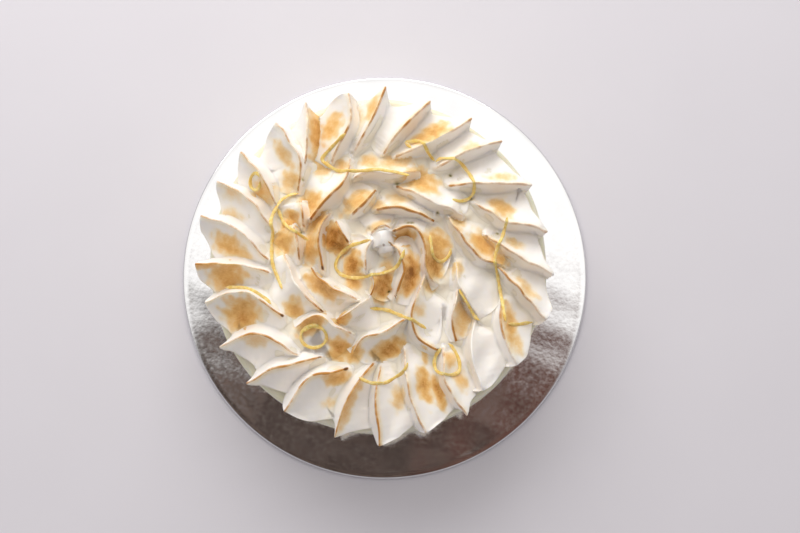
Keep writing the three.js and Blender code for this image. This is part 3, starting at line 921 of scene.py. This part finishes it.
def topSide(p, stroke):
    # the faces and the crest between them, and how the petal's neighbours take over from it
    shrink, ahead = stroke["shrink"], stroke["ahead"]
    metBroad, endBroad = flank(p, stroke, 1, float(p["broad"].max()) + 2)
    metSteep, endSteep = flank(p, stroke, -1, p["steep"] + 3)
    frontOwn = ownField(p, stroke, np.zeros((len(ahead), 1)))[2][:, 0]
    covered = ahead[(rivalHeight(stroke["crest"], p) > frontOwn) & (ahead > 0)]
    lostAt = covered.min() if len(covered) else 1e3

    fin = petalForm["fin"] * (petalForm["finTip"] + (1 - petalForm["finTip"]) * shrink[:, None])
    s = np.linspace(0, 1, petalMesh["broadSteps"])
    t = np.linspace(0, 1, petalMesh["steepSteps"] + 1)[1:]
    turns = np.radians(np.linspace(petalForm["capTurn"], -petalForm["capTurn"], petalMesh["capSteps"]))
    x = np.concatenate([
        fin + np.maximum(endBroad[:, None] - fin, 0.1) * (1 - s) ** 1.5, fin * np.sin(turns),
        -fin - np.maximum(endSteep[:, None] - fin, 0.1) * t ** 1.35,
    ], axis=1)
    plan, rho, own = ownField(p, stroke, x)
    rival = others(plan, p)
    met = np.where(x > 0, metBroad[:, None], metSteep[:, None])
    fade = 1 - smoothStep(0, petalForm["meet"], np.abs(x) - met)
    fade *= 1 - smoothStep(0, petalForm["meet"], ahead - lostAt)[:, None]
    power = blendAt(plan)
    field = (own ** power + fade * rival) ** (1 / power)
    z = floorRise(rho) + field - (petalForm["crease"] * (1 - fade) ** 2 + petalForm["pit"] * pitAt(plan))
    first = petalMesh["broadSteps"]
    z[:, first:first + len(turns)] += fin * (np.cos(turns) - math.cos(turns[0]))

    points = np.concatenate([plan, z[..., None]], axis=-1)
    points[..., 2] += uneven(points) * shrink[:, None]
    drag = softNoise(1.8, 7)   # fine lines that the nozzle drags along the stroke
    along = np.stack([np.broadcast_to(stroke["distance"][:, None] * 0.05, x.shape), x, 0 * x], axis=-1)
    fading = smoothStep(0, 1.5, np.abs(x)) * (1 - np.clip(np.abs(x) / met, 0, 1)) * shrink[:, None]
    points[..., 2] += petalForm["drag"] * drag(along) * fading
    taken = smoothStep(0.9, 1.1, rival ** (1 / power) / np.maximum(own, 0.05))
    return x, points, field, taken


underForm = dict(level=-1.0, rimStart=92, hangStart=97.0, slope=0.9, clear=0.35)


def underneath(p, stroke, plan, above):
    # the hidden side: level in the cream, and rising outwards where it hangs over the rim
    away, form = np.linalg.norm(plan, axis=-1), underForm
    base = np.full(away.shape, form["level"])
    if p["ring"]["rimmed"]:
        hanging = bodyTop - petalBase + form["clear"]
        hanging = hanging + np.maximum(0, away - form["hangStart"]) * form["slope"]
        base = np.where(away < form["rimStart"], form["level"], np.maximum(hanging, form["level"]))
    return np.minimum(base, above - petalForm["sheet"] * np.maximum(stroke["shrink"], 0.2)[:, None])


def petalPoints(p, stroke, x, top):
    # the whole petal as rings of points: the top, the underside, then the lip of the broad face
    shrink = stroke["shrink"][:, None]
    lipLow = underneath(p, stroke, top[:, :1, :2], top[:, :1, 2])
    halfLip = (top[:, :1, 2] - lipLow) / 2
    turns = np.radians(np.linspace(-petalForm["lipTurn"], petalForm["lipTurn"], petalMesh["lipSteps"]))
    lipX = x[:, :1] + np.minimum(halfLip, petalForm["lip"]) * np.cos(turns) * 0.9 * shrink
    lipZ = lipLow + halfLip + halfLip * np.sin(turns)
    lip = np.concatenate([beside(stroke, lipX), lipZ[..., None]], axis=-1)
    share = np.linspace(0, 1, petalMesh["underSteps"] + 2)[1:-1]
    underX = x[:, -1:] + (x[:, :1] - x[:, -1:]) * share
    underPlan = beside(stroke, underX)
    above = np.stack([np.interp(*rows) for rows in zip(underX, x[:, ::-1], top[:, ::-1, 2])])
    under = np.concatenate([underPlan, underneath(p, stroke, underPlan, above)[..., None]], axis=-1)
    points = np.concatenate([top, under, lip], axis=1)
    points[..., 2] += petalBase
    core = points[:, crestColumn, 2][:, None] - petalForm["sheet"]
    points[..., 2] = core + (points[..., 2] - core) * shrink   # the nose closes towards its core
    return points


def torchingAndShade(p, stroke, x, points, field, taken):
    # how brown each point is: patch, crest line, burnt beak; and painted shade, by how deep it lies in a
    # crease or a pit
    count, columns = points.shape[:2]
    top, first = x.shape[1], petalMesh["broadSteps"]
    plan, distance = points[..., :2], stroke["distance"]
    everywhere = np.ones((count, columns))
    patch = patchStrength(plan, p["torch"])
    patch[:, crestColumn + 1:] *= flame["steepShare"]
    side = patchStrength(plan, p["sideTorch"])
    side[:, :first] = 0
    neighbours = everywhere.copy()
    neighbours[:, :top] = taken
    patch = np.maximum(patch, side) * (1 - neighbours) + patchStrength(plan, allPatches) * neighbours
    brown = np.interp(stroke["v"], [0, 0.5, 1], p["line"])
    band = 0 * everywhere
    band[:, :top] = 1 - smoothStep(0, flame["band"], np.where(x > 0, x, -4 * x))
    band *= brown[:, None] * smoothStep(-1.0, 1.5, distance)[:, None]
    patch = np.sqrt(patch ** 2 + (flame["bandShare"] * band) ** 2)
    brown = brown * np.clip(0.92 + flame["flicker"] * tremble(points[:, first] * 1.3), 0.3, 1.15)
    across = 9.0 * everywhere
    across[:, :top] = np.abs(x + 0.15)
    line = brown[:, None] * (1 - smoothStep(*flame["line"], across))
    line = np.clip(line * smoothStep(-1.5, 0.5, distance)[:, None], 0, 1)
    beak = stroke["crest"][int(np.argmin(np.abs(distance - 0.8)))]
    nearBeak = np.linalg.norm(plan - beak, axis=-1)
    char = p["char"] * (1 - smoothStep(0.2, 1.0 + 1.5 * p["char"], nearBeak))
    char = char * (1 - smoothStep(*flame["beak"], across)) * flame["charred"]
    # painted shade: darker where a point lies low in a crease, and darkest in a pit
    crease = everywhere.copy()
    crease[:, :top] = 1 - smoothStep(0.0, 1.0, field)
    crease = np.maximum(crease * p["ring"]["creaseTint"], pitAt(plan))
    return np.stack([patch, line, np.clip(char, 0, 1), crease], axis=-1)


petalPieces = []
for p in allPetals:
    stroke = strokeOf(p)
    x, top, field, taken = topSide(p, stroke)
    petalRings = petalPoints(p, stroke, x, top)
    torch = torchingAndShade(p, stroke, x, petalRings, field, taken)
    still = petalRings * [1, 1, 0]
    sway = np.stack([swell(still + 31.0), swell(still - 57.0)], axis=-1)
    petalRings[..., :2] += petalForm["sway"] * sway + axis
    points, faces = closedTube(petalRings)
    cadNode = p["name"] if p["name"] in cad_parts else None
    name = "meringue_" + p["name"]
    petalPieces.append(addPiece(name, points, faces, meringue, cadNode, torch.reshape(-1, 4)))
print("petals made:", len(petalPieces))

# the run-together feet of the petals: the same surface a hair lower
bedShape = dict(radius=95.0, hem=7, segments=420, rings=150, lower=0.35, most=7.0, tint=0.25)
bedRadii = np.linspace(bedShape["radius"], 0.6, bedShape["rings"])
bedOutline = [(bedShape["radius"] - 1, bodyTop - 0.6)] + [(r, petalBase) for r in bedRadii]
bedRings = turned(bedOutline, bedShape["segments"])
bedPlan = bedRings[1:, :, :2]
bedRho = np.linalg.norm(bedPlan, axis=-1)
bedField = np.concatenate([rivalHeight(part, None) for part in np.array_split(bedPlan, 30)])
inside = 1 - smoothStep(bedShape["radius"] - bedShape["hem"], bedShape["radius"], bedRho)
bedHeight = floorRise(bedRho) + np.minimum(bedField, bedShape["most"]) - bedShape["lower"]
bedHeight = bedHeight * inside - 1.2 * (1 - inside) - petalForm["pit"] * pitAt(bedPlan)
bedRings[1:, :, 2] += bedHeight + uneven(np.concatenate([bedPlan, bedHeight[..., None]], axis=-1)) * inside
bedPoints, bedFaces = closedTube(bedRings)
bedTorch = np.zeros((len(bedPoints), 4))
bedTorch[:, 0] = patchStrength(bedPoints[:, :2], allPatches)
# the base's tint is painted crease shade over all of it, with dark olive painted shade in the pits
bedTorch[:, 3] = np.maximum(bedShape["tint"], pitAt(bedPoints[:, :2]))
bedPoints[:, :2] += axis
bed = addPiece("meringue_base", bedPoints, bedFaces, meringue, "meringue_bed", bedTorch)
print("meringue base made")


def curl(centre, radii, start, end, count, tighten=0.0):
    # a strip rolled up on itself, between two angles in radians
    points = []
    for i, angle in enumerate(np.linspace(start, end, count)):
        size = 1 - tighten * i
        across, along = radii[0] * math.cos(angle) * size, radii[1] * math.sin(angle) * size
        points.append((centre[0] + across, centre[1] + along))
    return points


# pared strips of lemon zest, each a line of (x, y) over the petals
zestShape = dict(width=2.1, thickness=0.8, step=0.9, window=5, sides=10, clear=0.15, twist=0.5, turn=9)
zestLines = [
    [(-19, 76), (-26.5, 69.5), (-32, 65), (-33.5, 62), (-30, 59), (-23, 55), (-14, 54), (0, 54), (10, 53),
     (19, 51)],
    [(20, 68), (17, 72), (21, 72.5), (25, 72), (28, 69), (31, 65), (34, 61.5)],
    [(34.6, 60), (37, 62), (43, 61.5), (49, 60), (53, 55.5), (56, 50), (57.5, 45), (57, 41.5), (53, 38),
     (48, 37), (44.5, 38)],
    [(76.6, 26), (76, 22), (74, 15), (71, 8), (69.6, 0), (71, -6), (72.5, -14), (73.7, -22.5), (74.4, -30),
     (75.5, -36)],
    [(77, -37), (82.5, -37), (88, -36), (92, -35.4)],
    [(48, -16.6), (51.6, -22.5), (55, -28), (58, -33), (60.4, -34.7)],
    [(-4.4, -27.7), (4.4, -28), (10, -30), (17.7, -33.6), (23, -36.5), (28.7, -40)],
    [(37.6, -51), (34.6, -55), (33.5, -59), (34.6, -64), (38, -66.4), (43.5, -67), (48, -65), (48.6, -61),
     (47, -55), (44, -50), (42, -48)],
    [(-10.7, -68.6), (-7.4, -70.4), (-3, -72), (1.5, -72), (5, -71.5), (10, -68.6), (14.7, -65.6),
     (17.3, -62), (17.7, -60)],
    [(-47.5, 41.5), (-52, 41), (-57.5, 38), (-60.4, 33.4), (-62.6, 29), (-63.7, 24), (-62.6, 18.7),
     (-63.3, 12.8), (-63.3, 5.5), (-62.6, -1), (-60.4, -7), (-56.7, -16)],
    [(-60, 33), (-56, 24), (-51, 19), (-47, 16.5), (-41, 13)],
    [(-90, -15), (-82.5, -15), (-76.6, -16), (-70.7, -19), (-66, -22), (-63, -25)],
    [(31, 15), (31.7, 9), (33, 3), (37, 0.3), (40.5, 2), (43, 5.5), (43.5, 8.4)],
    [(-4, 12), (-17, 9), (-23.6, 3), (-25, -2.7), (-22, -7), (-14.7, -9.3), (-6, -9), (3, -7), (11, -3.4),
     (14.7, 2), (16, 6)],
    curl((-37.6, -44.3), (8.3, 6.8), 1.2, 8.9, 15, 0.012),
    curl((-73, 48), (3.2, 4.6), 0.4, 6.2, 10),
]

surfaces = []
for piece in petalPieces + [bed]:
    corners = [v.co for v in piece.data.vertices]
    surfaces.append(BVHTree.FromPolygons(corners, [face.vertices[:] for face in piece.data.polygons]))


def topAt(x, y):
    # height of the meringue under a point
    best = bodyTop
    for surface in surfaces:
        hit = surface.ray_cast(Vector((x * mm, y * mm, 0.2)), Vector((0, 0, -1)))
        if hit[0] is not None:
            best = max(best, hit[0].z / mm)
    return best


def drapedStrip(points):
    shape, reach = zestShape, zestShape["window"]
    line = curveThrough([np.array(q) + axis for q in points], 12)
    length = lineLength(line)
    count = max(8, int(length / shape["step"]))
    plan = alongLine(line, np.linspace(0, length, count))
    normal = leftOf(unit(np.gradient(plan, axis=0)))
    ground = np.array([max(topAt(*(q + n * w)) for w in (-0.6, 0, 0.6)) for q, n in zip(plan, normal)])
    # a strip bridges narrow creases, so it takes the local high points, then relaxes
    high = np.array([ground[max(0, i - reach):i + reach + 1].max() for i in range(count)])
    closed = np.array([high[max(0, i - reach):i + reach + 1].min() for i in range(count)])
    lie = np.maximum(blurred(closed, 2.5), ground)
    lie = np.maximum(blurred(lie, 1.2), ground - shape["clear"]) + shape["clear"]
    twist = shape["twist"] * np.sin(np.linspace(0, length / shape["turn"], count) + seeded.uniform(0, 6))
    around = np.linspace(0, 2 * math.pi, shape["sides"], endpoint=False)
    strip = []
    for i in range(count):
        end = min(i, count - 1 - i)
        grow = min(1.0, 0.25 + 0.3 * end) * (1 + 0.12 * math.sin(i * 0.7 + twist[i]))
        across = shape["width"] / 2 * grow * np.cos(around)
        up = shape["thickness"] / 2 * (0.4 + 0.6 * grow) * np.sin(around)
        c, s = math.cos(twist[i]), math.sin(twist[i])
        place = plan[i] + (across * c - up * s)[:, None] * normal[i]
        strip.append(np.column_stack([place, lie[i] + (across * s + up * c) + shape["thickness"] / 2]))
    return np.array(strip)


zestPoints, zestFaces = [], []
for points in zestLines:
    stripPoints, stripFaces = closedTube(drapedStrip(points), sum(map(len, zestPoints)))
    zestPoints.append(stripPoints)
    zestFaces += stripFaces
addPiece("zest_strips", np.concatenate(zestPoints), zestFaces, zest)
print("zest laid:", len(zestLines), "strips")
